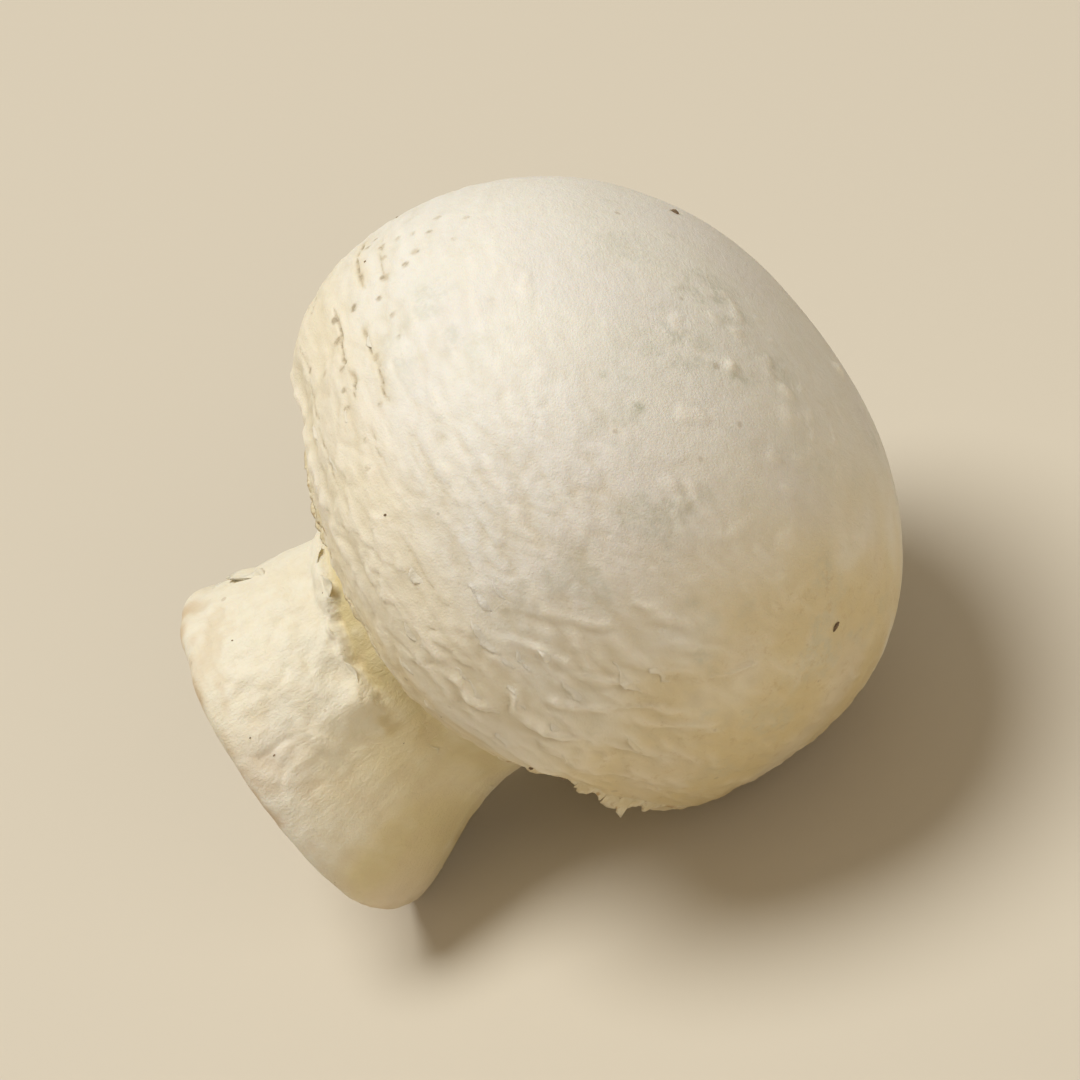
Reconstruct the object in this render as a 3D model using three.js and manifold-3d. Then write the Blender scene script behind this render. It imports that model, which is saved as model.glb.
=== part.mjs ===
// A fresh white button mushroom, closed cup, picked with its stem cut short, lying on its side.
// Millimetres, +Z up. The floor it lies on is the plane z = 0, and the origin is the middle of the
// footprint's bounding box on that plane. The crown of the cap looks towards +X and the cut stem
// points towards -X, leaning down until the rim of the cut touches the floor.
import * as THREE from "three";
import { mergeVertices } from "three/addons/utils/BufferGeometryUtils.js";
import Module from "manifold-3d";

// ---- driving dimensions (mm, degrees) ----
const CAP_DIAMETER = 37.8; // across the widest ring of the cap
const HEIGHT = 39.7; // from the cut face to the crown
const STEM_NECK_DIAMETER = 16.6; // just under the veil
const STEM_BASE_DIAMETER = 21.6; // swollen foot, just above the cut
const CUT_ROUND = 1.7; // height over which the foot rounds into the cut face
const CAP_OVAL = 0.015; // the cap is this share flatter from floor to top
const STEM_SHIFT_NECK = 1.9; // sideways offset of the stem at the veil
const STEM_SHIFT_BASE = 2.5; // and at the cut
const STEM_SHIFT_ANGLE = 236; // direction of that offset around the cap
const COLLAR = 0.85; // thickness of the veil remnant that clings to the stem
const COLLAR_ANGLE = 95; // middle of the remnant around the stem
const MARGIN_WAVE = 0.85; // how far the cap's rolled margin dips and lifts
const MARGIN_ANGLE = 147.5; // where the margin dips lowest
const CROWN_LUMP = 0.75; // the crown is this much fuller on one side
const CROWN_LUMP_ANGLE = 237;
const CUT_SLANT = 0.03; // slope of the knife cut
const CUT_SLANT_ANGLE = 149;
const REST_LEAN = 16.78; // lean of the axis as it lies: both cap and foot touch the floor
const REST_SINK = 0.35; // depth of the two small flats where the soft flesh presses on the floor
const SEGMENTS = 64;

// ---- profile, from the crown down to the middle of the cut: radius, height above the cut ----
const R = CAP_DIAMETER / 37.8;
const H = HEIGHT / 39.7;
const N = STEM_NECK_DIAMETER / 16.6;
const B = STEM_BASE_DIAMETER / 21.6;
const C = CUT_ROUND / 1.7;
const PROFILE = [
  // domed skin of the cap
  [0, 39.7 * H],
  [2.9 * R, 39.52 * H],
  [5.85 * R, 38.98 * H],
  [8.95 * R, 38.02 * H],
  [12.15 * R, 36.4 * H],
  [15.15 * R, 34.08 * H],
  [17.35 * R, 31.25 * H],
  [18.5 * R, 28.4 * H],
  [18.88 * R, 25.85 * H],
  [18.84 * R, 23.7 * H],
  [18.64 * R, 21.5 * H],
  [18.2 * R, 19.1 * H],
  // margin rolled in under the cap
  [17.2 * R, 16.8 * H],
  [15.45 * R, 15.05 * H],
  [13.75 * R, 13.9 * H],
  [12.35 * R, 13.15 * H],
  [11.1 * R, 13.05 * H],
  // closed veil, in the groove between the margin and the stem
  [10.05 * R, 13.5 * H],
  [9.1 * N, 13.4 * H],
  // stem
  [8.45 * N, 12.2 * H],
  [8.3 * N, 10.6 * H],
  [8.55 * N, 8.75 * H],
  [9.15 * B, 6.75 * H],
  [9.85 * B, 4.8 * H],
  [10.45 * B, 3.05 * H],
  [10.8 * B, 1.7 * C],
  [10.7 * B, 0.7 * C],
  [10.15 * B, 0.14 * C],
  // flat cut face
  [9.2 * B, 0],
  [6.4 * B, 0],
  [3.2 * B, 0],
  [0, 0],
];

const rad = THREE.MathUtils.degToRad;
const smooth = (a, b, x) => THREE.MathUtils.smoothstep(x, a, b);
const mix = THREE.MathUtils.lerp;
const bump = (a, b, c, d, x) => smooth(a, b, x) * (1 - smooth(c, d, x));

// ---- the plain lathe form ----
const curve = new THREE.SplineCurve(
  PROFILE.map(([r, h]) => new THREE.Vector2(r, h)),
);
const LAST = PROFILE.length - 1;
const steps = [];
for (let s = 0; s < 3; s += 1) steps.push(s);
for (let s = 3; s < 19; s += 0.5) steps.push(s);
for (let s = 19; s < 24; s += 1) steps.push(s);
for (let s = 24; s <= 28; s += 0.5) steps.push(s);
steps.push(LAST);
const rings = steps.map((s) => {
  const p = curve.getPoint(s / LAST);
  if (s === 0 || s === LAST) p.x = 0;
  if (s >= 28) p.y = 0;
  return p;
});
// The lathe wants its profile from the bottom up for faces that look outwards.
const order = steps.map((_, i) => i).reverse();
const lathe = new THREE.LatheGeometry(
  order.map((i) => rings[i]),
  SEGMENTS,
);

// ---- the grown, uneven form: each point of the lathe is moved in the mushroom's own frame, ----
// ---- x and y across the axis, z along it from the cut face to the crown                     ----
function grown(radius, height, s, th) {
  const onStem = smooth(16, 19.5, s);
  const margin = bump(9.5, 14.5, 17.5, 21, s);
  const foot = smooth(20, 26, s);
  const cut = smooth(24, 27, s);
  const capForm =
    -CAP_OVAL * Math.cos(2 * (th - Math.PI / 2)) +
    0.006 * Math.cos(3 * th - 0.9) +
    0.004 * Math.cos(5 * th + 0.6) * smooth(3, 9, s);
  const stemForm =
    0.022 * Math.cos(2 * th - 1.0) +
    0.02 * Math.cos(3 * th + 1.2) +
    0.012 * foot * Math.cos(5 * th + 2.0);
  let away = Math.abs(th - rad(COLLAR_ANGLE));
  if (away > Math.PI) away = 2 * Math.PI - away;
  const collar =
    COLLAR *
    (1 - smooth(rad(35), rad(75), away)) *
    bump(8.6, 11.2, 12.1, 13.2, height) *
    smooth(18, 19, s);
  const r =
    radius > 0 ? radius * (1 + mix(capForm, stemForm, onStem)) + collar : 0;
  const shift = onStem * mix(STEM_SHIFT_NECK, STEM_SHIFT_BASE, smooth(20, 25, s));
  const x = r * Math.cos(th);
  const y = r * Math.sin(th);
  const dip =
    -MARGIN_WAVE * Math.cos(2 * (th - rad(MARGIN_ANGLE))) +
    0.15 * Math.sin(th - rad(MARGIN_ANGLE)) +
    0.18 * Math.cos(5 * th + 1.0);
  const lump =
    CROWN_LUMP *
    bump(0, 4, 6.5, 10.5, s) *
    (0.5 + 0.5 * Math.cos(th - rad(CROWN_LUMP_ANGLE)));
  const slant =
    CUT_SLANT * (x * Math.cos(rad(CUT_SLANT_ANGLE)) + y * Math.sin(rad(CUT_SLANT_ANGLE)));
  return new THREE.Vector3(
    x + shift * Math.cos(rad(STEM_SHIFT_ANGLE)),
    y + shift * Math.sin(rad(STEM_SHIFT_ANGLE)),
    height + lump + margin * dip + cut * slant,
  );
}

const position = lathe.getAttribute("position");
for (let i = 0; i < position.count; i++) {
  const column = Math.floor(i / order.length) % SEGMENTS;
  const k = order[i % order.length];
  const p = grown(rings[k].x, rings[k].y, steps[k], (column / SEGMENTS) * 2 * Math.PI);
  position.setXYZ(i, p.x, p.y, p.z);
}

// ---- laid on its side ----
const lean = rad(REST_LEAN);
lathe.applyMatrix4(
  new THREE.Matrix4().makeBasis(
    new THREE.Vector3(0, 1, 0),
    new THREE.Vector3(-Math.sin(lean), 0, Math.cos(lean)),
    new THREE.Vector3(Math.cos(lean), 0, Math.sin(lean)),
  ),
);
lathe.computeBoundingBox();
lathe.translate(0, 0, -lathe.boundingBox.min.z - REST_SINK);

// ---- the two flats where it presses on the floor ----
const wasm = await Module();
wasm.setup();

function solid(geometry) {
  const bare = geometry.clone();
  for (const name of Object.keys(bare.attributes))
    if (name !== "position") bare.deleteAttribute(name);
  const merged = mergeVertices(bare, 1e-4);
  return new wasm.Manifold(
    new wasm.Mesh({
      numProp: 3,
      vertProperties: new Float32Array(merged.attributes.position.array),
      triVerts: new Uint32Array(merged.index.array),
    }),
  );
}

const below = new THREE.BoxGeometry(120, 120, 20).translate(0, 0, -10);
const body = solid(lathe).subtract(solid(below));
const out = body.getMesh();
const geometry = new THREE.BufferGeometry();
geometry.setAttribute(
  "position",
  new THREE.BufferAttribute(new Float32Array(out.vertProperties), 3),
);
geometry.setIndex(new THREE.BufferAttribute(new Uint32Array(out.triVerts), 1));
geometry.computeBoundingBox();
const box = geometry.boundingBox;
geometry.translate(-(box.min.x + box.max.x) / 2, -(box.min.y + box.max.y) / 2, 0);
geometry.computeVertexNormals();

const mushroom = new THREE.Mesh(
  geometry,
  new THREE.MeshStandardMaterial({
    color: new THREE.Color().setRGB(0.8, 0.74, 0.62, THREE.SRGBColorSpace),
    roughness: 0.62,
    metalness: 0,
  }),
);
mushroom.name = "mushroom";

const group = new THREE.Group();
group.add(mushroom);
export default group;
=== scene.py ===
import math

import bpy
import numpy as np
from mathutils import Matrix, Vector


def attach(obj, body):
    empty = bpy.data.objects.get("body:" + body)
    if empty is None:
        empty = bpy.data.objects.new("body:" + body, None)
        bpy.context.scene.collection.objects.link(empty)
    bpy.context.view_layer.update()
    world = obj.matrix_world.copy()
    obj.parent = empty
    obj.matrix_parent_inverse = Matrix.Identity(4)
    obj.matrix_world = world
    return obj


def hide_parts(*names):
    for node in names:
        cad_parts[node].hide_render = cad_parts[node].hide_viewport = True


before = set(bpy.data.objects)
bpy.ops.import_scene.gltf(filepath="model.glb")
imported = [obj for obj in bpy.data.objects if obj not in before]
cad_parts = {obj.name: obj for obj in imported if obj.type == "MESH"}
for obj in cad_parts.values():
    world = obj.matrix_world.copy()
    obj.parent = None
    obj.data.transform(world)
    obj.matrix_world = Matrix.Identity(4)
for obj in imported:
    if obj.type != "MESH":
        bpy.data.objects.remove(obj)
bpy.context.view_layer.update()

MM = 0.001
RAD = math.pi / 180.0

# ---------------------------------------------------------------------------
# The mushroom's grown form, in its own frame (mm): x and y across the axis,
# w along it from the cut face (0) to the crown. Same numbers as the CAD.
# ---------------------------------------------------------------------------
PROFILE = np.array([
    (0, 39.7), (2.9, 39.52), (5.85, 38.98), (8.95, 38.02), (12.15, 36.4),
    (15.15, 34.08), (17.35, 31.25), (18.5, 28.4), (18.88, 25.85), (18.84, 23.7),
    (18.64, 21.5), (18.2, 19.1), (17.2, 16.8), (15.45, 15.05), (13.75, 13.9),
    (12.35, 13.15), (11.1, 13.05), (10.05, 13.5), (9.1, 13.4), (8.45, 12.2),
    (8.3, 10.6), (8.55, 8.75), (9.15, 6.75), (9.85, 4.8), (10.45, 3.05),
    (10.8, 1.7), (10.7, 0.7), (10.15, 0.14), (9.2, 0), (6.4, 0), (3.2, 0), (0, 0)])
LEAN = 16.78 * RAD
EX = np.array([0.0, 1.0, 0.0])
EY = np.array([-math.sin(LEAN), 0.0, math.cos(LEAN)])
EZ = np.array([math.cos(LEAN), 0.0, math.sin(LEAN)])
ORIGIN = np.array([-18.7326, -0.1316, 11.5361])  # the middle of the cut, mm, in the row frame


def spline(P, s):
    """Uniform Catmull-Rom through the rows of P at parameter s (0 .. len-1)."""
    P = np.asarray(P, float)
    n = len(P)
    i = np.clip(np.floor(s).astype(int), 0, n - 2)
    t = (s - i)[:, None]
    p0, p1 = P[np.maximum(i - 1, 0)], P[i]
    p2, p3 = P[np.minimum(i + 1, n - 1)], P[np.minimum(i + 2, n - 1)]
    v0, v1 = (p2 - p0) * 0.5, (p3 - p1) * 0.5
    return ((2 * p1 - 2 * p2 + v0 + v1) * t ** 3 + (-3 * p1 + 3 * p2 - 2 * v0 - v1) * t ** 2
            + v0 * t + p1)


def smooth(a, b, x):
    t = np.clip((x - a) / (b - a), 0.0, 1.0)
    return t * t * (3 - 2 * t)


def bump(a, b, c, d, x):
    return smooth(a, b, x) * (1 - smooth(c, d, x))


def turn(th, middle):
    """How far th is from middle, in radians, the short way round."""
    d = np.abs((th - middle * RAD) % (2 * math.pi))
    return np.minimum(d, 2 * math.pi - d)


def grown(r0, h, s, th):
    onstem = smooth(16, 19.5, s)
    margin = bump(9.5, 14.5, 17.5, 21, s)
    foot = smooth(20, 26, s)
    cut = smooth(24, 27, s)
    capf = (-0.015 * np.cos(2 * (th - math.pi / 2)) + 0.006 * np.cos(3 * th - 0.9)
            + 0.004 * np.cos(5 * th + 0.6) * smooth(3, 9, s))
    stemf = (0.022 * np.cos(2 * th - 1.0) + 0.02 * np.cos(3 * th + 1.2)
             + 0.012 * foot * np.cos(5 * th + 2.0))
    collar = (0.85 * (1 - smooth(35 * RAD, 75 * RAD, turn(th, 95)))
              * bump(8.6, 11.2, 12.1, 13.2, h) * smooth(18, 19, s))
    r = np.where(r0 > 0, r0 * (1 + capf * (1 - onstem) + stemf * onstem) + collar, 0)
    shift = onstem * (1.9 + 0.6 * smooth(20, 25, s))
    x, y = r * np.cos(th), r * np.sin(th)
    dip = (-0.85 * np.cos(2 * (th - 147.5 * RAD)) + 0.15 * np.sin(th - 147.5 * RAD)
           + 0.18 * np.cos(5 * th + 1.0))
    lump = 0.75 * bump(0, 4, 6.5, 10.5, s) * (0.5 + 0.5 * np.cos(th - 237 * RAD))
    slant = 0.03 * (x * math.cos(149 * RAD) + y * math.sin(149 * RAD))
    return np.stack([x + shift * math.cos(236 * RAD), y + shift * math.sin(236 * RAD),
                     h + lump + margin * dip + cut * slant], -1)


def to_row(L):
    """Own frame (mm) to the row frame (mm)."""
    return L[..., :1] * EX + L[..., 1:2] * EY + L[..., 2:] * EZ + ORIGIN


# ---------------------------------------------------------------------------
# Noise
# ---------------------------------------------------------------------------
_rng = np.random.RandomState(20)
_G = _rng.normal(size=(256, 3))
_G /= np.linalg.norm(_G, axis=1)[:, None]
_P = np.concatenate([_rng.permutation(256)] * 3)


def perlin(p, seed=0):
    q = np.asarray(p, float) + seed * np.array([17.31, 5.77, 29.13])
    i = np.floor(q).astype(np.int64)
    f = q - i
    i &= 255
    u = f * f * f * (f * (f * 6 - 15) + 10)
    out = np.zeros(q.shape[:-1])
    for dx in (0, 1):
        for dy in (0, 1):
            for dz in (0, 1):
                h = _P[_P[_P[(i[..., 0] + dx) & 255] + ((i[..., 1] + dy) & 255)] + ((i[..., 2] + dz) & 255)]
                d = (_G[h] * (f - np.array([dx, dy, dz]))).sum(-1)
                w = ((u[..., 0] if dx else 1 - u[..., 0]) * (u[..., 1] if dy else 1 - u[..., 1])
                     * (u[..., 2] if dz else 1 - u[..., 2]))
                out += w * d
    return out * 1.6


def fbm(p, octaves=3, seed=0, gain=0.5):
    out, a, k = 0.0, 1.0, 1.0
    for o in range(octaves):
        out = out + a * perlin(p * k, seed + o * 3)
        a *= gain
        k *= 2.03
    return out


def perlin3(p, seed=0):
    return np.stack([perlin(p, seed), perlin(p, seed + 41), perlin(p, seed + 83)], -1)


# ---------------------------------------------------------------------------
# Meshes
# ---------------------------------------------------------------------------
def make_object(name, verts, faces, attrs=None, smooth_shade=True):
    me = bpy.data.meshes.new(name)
    me.from_pydata([tuple(v) for v in verts], [], faces)
    for k, a in (attrs or {}).items():
        a = np.asarray(a, np.float32)
        if a.ndim == 1:
            at = me.attributes.new(k, "FLOAT", "POINT")
            at.data.foreach_set("value", a)
        else:
            at = me.attributes.new(k, "FLOAT_VECTOR", "POINT")
            at.data.foreach_set("vector", a.reshape(-1))
    if smooth_shade:
        me.polygons.foreach_set("use_smooth", [True] * len(me.polygons))
    me.update()
    ob = bpy.data.objects.new(name, me)
    bpy.context.scene.collection.objects.link(ob)
    return ob


def grid_faces(n, m, first_pole, last_pole, flip=False):
    """Rings of m vertices; a pole at either end is one vertex. Returns faces for vertices in
    the order [first pole], rings, [last pole]."""
    off = 1 if first_pole else 0
    F = []
    if first_pole:
        for j in range(m):
            F.append((0, off + (j + 1) % m, off + j))
    i = np.arange(n - 1)[:, None] * m + off
    j = np.arange(m)[None]
    j2 = (j + 1) % m
    quads = np.stack([i + j, i + j2, i + m + j2, i + m + j], -1).reshape(-1, 4)
    F.extend(map(tuple, quads.tolist()))
    if last_pole:
        last = off + n * m
        b = off + (n - 1) * m
        for j in range(m):
            F.append((last, b + j, b + (j + 1) % m))
    return [f[::-1] for f in F] if flip else F


def arc_length(P):
    return np.concatenate([[0], np.cumsum(np.hypot(*np.diff(P, axis=0).T))])


def normals_of(P, th):
    ds = np.gradient(P, axis=0)
    step = (np.roll(th, -1) - np.roll(th, 1)) % (2 * math.pi)
    dt = (np.roll(P, -1, 1) - np.roll(P, 1, 1)) / step[None, :, None]
    N = np.cross(dt, ds)
    return N / (np.linalg.norm(N, axis=-1, keepdims=True) + 1e-12)


def resample(path_fn, s0, s1, step_fn, fine=0.01):
    """Parameter values from s0 to s1 whose spacing along the path is step_fn(s) mm."""
    s = np.arange(s0, s1 + fine / 2, fine)
    P = path_fn(s)
    d = np.hypot(*np.diff(P, axis=0).T)
    rate = d / step_fn((s[1:] + s[:-1]) / 2)
    c = np.concatenate([[0], np.cumsum(rate)])
    n = int(round(c[-1]))
    return np.interp(np.linspace(0, c[-1], n + 1), c, s)


def around(seg):
    """Angles of seg columns, closer together on the side that faces the camera."""
    t = np.linspace(0, 2 * math.pi, 20001)
    c = np.concatenate([[0], np.cumsum(1 + 0.32 * np.cos(t[:-1] + np.diff(t) / 2 - 150 * RAD))])
    return np.interp(np.arange(seg) / seg * c[-1], c, t)


def cad_profile(s):
    P = spline(PROFILE, s)
    P[s >= 28, 1] = 0
    return P


# ---------------------------------------------------------------------------
# Camera: the photograph's direction, seen from the mushroom. In the photograph it
# leans on its neighbours; here it lies on a floor, so the camera leans with it.
# ---------------------------------------------------------------------------
ELEV, AZIM, ROLL = 35.2 * RAD, 9.26 * RAD, 26.15 * RAD
back = np.array([math.sin(AZIM) * math.cos(ELEV), -math.cos(AZIM) * math.cos(ELEV), math.sin(ELEV)])
right0 = np.cross([0, 0, 1.0], back)
right0 /= np.linalg.norm(right0)
up0 = np.cross(back, right0)
right = right0 * math.cos(ROLL) - up0 * math.sin(ROLL)
up = right0 * math.sin(ROLL) + up0 * math.cos(ROLL)
aim = to_row(np.array([0, 0, 26.1])) - 4.6 * right - 3.7 * up

cam_data = bpy.data.cameras.new("camera")
cam = bpy.data.objects.new("camera", cam_data)
bpy.context.scene.collection.objects.link(cam)
cam_data.sensor_width = 36
cam_data.lens = 143
cam_data.clip_start = 0.01
cam_data.clip_end = 20
from mathutils import Matrix
rot = Matrix((Vector(right), Vector(up), Vector(back))).transposed()
cam.matrix_world = Matrix.Translation(Vector((aim + 246 * back) * MM)) @ rot.to_4x4()
bpy.context.scene.camera = cam

# ---------------------------------------------------------------------------
# Cracks in the skin near the margin: place along the profile (mm from the crown), from, to
# (degrees), depth
# ---------------------------------------------------------------------------
CRACKS = [
    (29.2, 62, 86, 0.9), (31.45, 80, 109, 1.0), (29.75, 90, 116, 0.8), (31.3, 113, 125, 0.42),
    (29.05, 116, 138, 0.28), (34.9, 74, 122, 0.7), (27.6, 70, 88, 0.4), (32.6, 128, 150, 0.35),
    (33.2, 60, 78, 0.5), (30.4, 238, 262, 0.6), (32.2, 256, 290, 0.7), (29.0, 286, 308, 0.5),
    (33.6, 300, 336, 0.7), (31.0, 328, 352, 0.6), (30.1, 6, 32, 0.7), (32.9, 22, 56, 0.7),
    (28.3, 30, 50, 0.4), (34.6, 214, 244, 0.6),
]


def crack_mask(arc, th, wob, width):
    """0..1 along the listed cracks, width mm to each side."""
    m = np.zeros(np.broadcast(arc, th).shape)
    for a0, t0, t1, k in CRACKS:
        mid, half = (t0 + t1) / 2, (t1 - t0) / 2 * RAD
        along = 1 - smooth(half * 0.6, half, turn(th, mid))
        m = np.maximum(m, k * along * np.exp(-((arc + wob - a0) / width) ** 2))
    return m


def creases(p, seed, width):
    """1 in thin lines where the noise crosses its middle, 0 between them."""
    return 1 - smooth(0.0, width, np.abs(perlin(p, seed)))


def scallops(T, A, S):
    """Overlapping, irregular scales: each rises slowly from its root and ends in a curved edge
    towards the margin. Height 0..1."""
    r = np.random.RandomState(11)
    out = np.zeros(T.shape)
    th, arc = T[0], A[:, 0]
    row = 0
    a0 = 25.6
    while a0 < 38.6:
        step = 1.25 + 0.25 * r.rand()
        t0 = 360 * r.rand()
        end = t0 + 360
        while t0 < end:
            w = 1.1 + 1.5 * r.rand() ** 1.4  # half width, mm
            ln = 1.1 + 1.3 * r.rand()
            c_a = a0 + 0.9 * (r.rand() - 0.5)
            c_t = (t0 + 1.2 * (r.rand() - 0.5)) * RAD
            k = (0.35 + 0.65 * r.rand()) * (1.0 if r.rand() < 0.72 else 0.15)
            lean = 0.5 * (r.rand() - 0.5)
            ph = 50 * r.rand()
            i = np.nonzero((arc > c_a - 0.2) & (arc < c_a + 1.5 * ln + 0.3))[0]
            du = 18.2 * ((th - c_t + math.pi) % (2 * math.pi) - math.pi)
            j = np.nonzero(np.abs(du) < 1.6 * w)[0]
            if len(i) and len(j):
                dv = (arc[i] - c_a)[:, None]
                u = (du[j][None] - lean * dv) / w
                q = np.stack([u * w * 0.9 + ph, dv * 0.35 + 0 * u, 0 * u], -1)
                far = ln * (1 - 0.55 * u ** 2 + 0.30 * perlin(q, 3) + 0.16 * perlin(q * 2.6, 5))
                v = dv / np.maximum(far, 0.05)
                body = np.where(far > 0.1, np.clip(v, 0, 1) ** 1.5 * (1 - smooth(0.93, 1.04, v)), 0)
                body = body * (1 - smooth(0.72, 1.05, np.abs(u))) * k
                blk = out[np.ix_(i, j)]
                out[np.ix_(i, j)] = np.maximum(blk, body)
            t0 += (w * 1.55) / 18.2 / RAD
        a0 += step
        row += 1
    return out


# Raised wrinkles on the low side: height in mm, then (angle, profile place) along each
RIDGES = [
    (0.26, (159, 11.6), (163, 11.85), (166, 11.9), (170, 11.35)),
    (0.20, (158, 10.2), (164, 9.75), (167, 9.5), (173, 9.4), (177, 8.7), (181, 7.9)),
    (0.34, (166, 10.75), (169, 11.0), (173, 11.2), (177, 11.0), (183, 10.6)),
    (0.22, (171, 10.45), (177, 10.0), (181, 9.1)),
    (0.14, (157, 9.2), (162, 8.7), (168, 7.9)),
    (0.13, (165, 7.5), (169, 7.2), (177, 6.9)),
    (0.12, (183, 8.0), (186, 7.4), (192, 6.4)),
    (0.17, (182, 9.4), (187, 9.1), (193, 8.3), (197, 8.0)),
    (0.15, (184, 10.3), (190, 9.9), (198, 9.4)),
    (0.13, (190, 11.2), (197, 10.8), (206, 10.2)),
    (0.13, (171, 8.5), (178, 8.0), (185, 7.3)), (0.12, (174, 7.5), (180, 7.1), (187, 6.6)),
    (0.15, (178, 9.6), (183, 8.8), (189, 8.3)), (0.11, (186, 9.0), (192, 8.7), (199, 7.9)),
]


def ridges(T, A, S):
    """Wavy wrinkles that stand up from the skin, steeper on the crown's side, and the troughs
    under them. Height and depth in mm."""
    r = np.random.RandomState(23)
    th, arc = T[0], A[:, 0]
    lines = []
    for k, *pts in RIDGES:
        lines.append((k, np.array([t for t, _ in pts]) * RAD, np.interp([s for _, s in pts], S[:, 0], arc)))
    a0 = 18.5
    while a0 < 36.5:
        t0 = 360 * r.rand()
        end = t0 + 350
        while t0 < end:
            half = (1.3 + 2.6 * r.rand()) / 18.5 / RAD
            t = np.linspace(t0 - half, t0 + half, 7)
            near = 1 - smooth(36 * RAD, 66 * RAD, turn(t[3] * RAD, 190))
            k = (0.030 + 0.065 * r.rand() ** 1.6) * (0.75 + 0.75 * near) * (0.45 + 0.55 * smooth(20, 28, a0))
            drift = 1.6 * (r.rand() - 0.5)
            a = a0 + 1.1 * (r.rand() - 0.5) + drift * np.linspace(-0.5, 0.5, 7) + 0.30 * (r.rand(7) - 0.5)
            lines.append((k, t * RAD, a))
            t0 += 2 * half + (0.4 + 3.2 * r.rand()) / 18.5 / RAD
        a0 += 1.05 + 0.35 * r.rand()
    out, under = np.zeros(T.shape), np.zeros(T.shape)
    for n, (k, t, a) in enumerate(lines):
        mid, half = (t[0] + t[-1]) / 2, (t[-1] - t[0]) / 2
        du = (th - mid + math.pi) % (2 * math.pi) - math.pi
        j = np.nonzero(np.abs(du) < half)[0]
        if not len(j):
            continue
        fine = np.linspace(t[0], t[-1], 4 * len(t))
        line = np.interp(fine, t, a)
        line = np.convolve(np.pad(line, 3, "edge"), np.ones(7) / 7, "valid")
        wave = np.stack([18.5 * du[j] * 0.75 + n * 3.3, 0 * du[j], 0 * du[j]], -1)
        c = np.interp(mid + du[j], fine, line) + 0.30 * perlin(wave, 61) + 0.10 * perlin(wave * 2.7, 63)
        i = np.nonzero((arc > c.min() - 1.0) & (arc < c.max() + 1.5))[0]
        if not len(i):
            continue
        dv = arc[i][:, None] - c[None]
        w = 0.8 + 0.5 * perlin(wave * 0.9, 65)[None]
        k = (k * (1 - smooth(0.55, 1.0, np.abs(du[j]) / half)) * (0.85 + 0.5 * perlin(wave * 1.4, 67)))[None]
        h = k * np.exp(-(dv / np.where(dv < 0, 0.24 * w, 0.42 * w)) ** 2)
        g = k * np.exp(-((dv - 0.80 * w) / (0.34 * w)) ** 2)
        out[np.ix_(i, j)] = np.maximum(out[np.ix_(i, j)], h)
        under[np.ix_(i, j)] = np.maximum(under[np.ix_(i, j)], g)
    return out, under


def apart(L, S, T, A, s0, t0):
    """Squared distance over the skin from profile place s0 at t0 degrees, mm2."""
    u = np.hypot(L[..., 0], L[..., 1]) * ((T - t0 * RAD + math.pi) % (2 * math.pi) - math.pi)
    return (A - np.interp(s0, S[:, 0], A[:, 0])) ** 2 + u ** 2


def unrolled(T, A, middle):
    """Flat coordinates on the side of the cap around an angle: round it and down it, mm."""
    return 18.0 * ((T - middle * RAD + math.pi) % (2 * math.pi) - math.pi), A


# ---------------------------------------------------------------------------
# Cap
# ---------------------------------------------------------------------------
ROLLED = np.array([(11.1, 13.05), (10.72, 13.3), (10.75, 13.75), (11.1, 14.3), (10.4, 15.2), (7.5, 16.2), (3.8, 16.6), (0, 16.7)])


def cap_path(s):
    """The CAD profile down to the lip of the margin (16), then curled in behind the veil."""
    full = np.vstack([PROFILE[:17], ROLLED[1:]])
    return spline(full, s)


CAP_END = 16 + len(ROLLED) - 1


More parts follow.
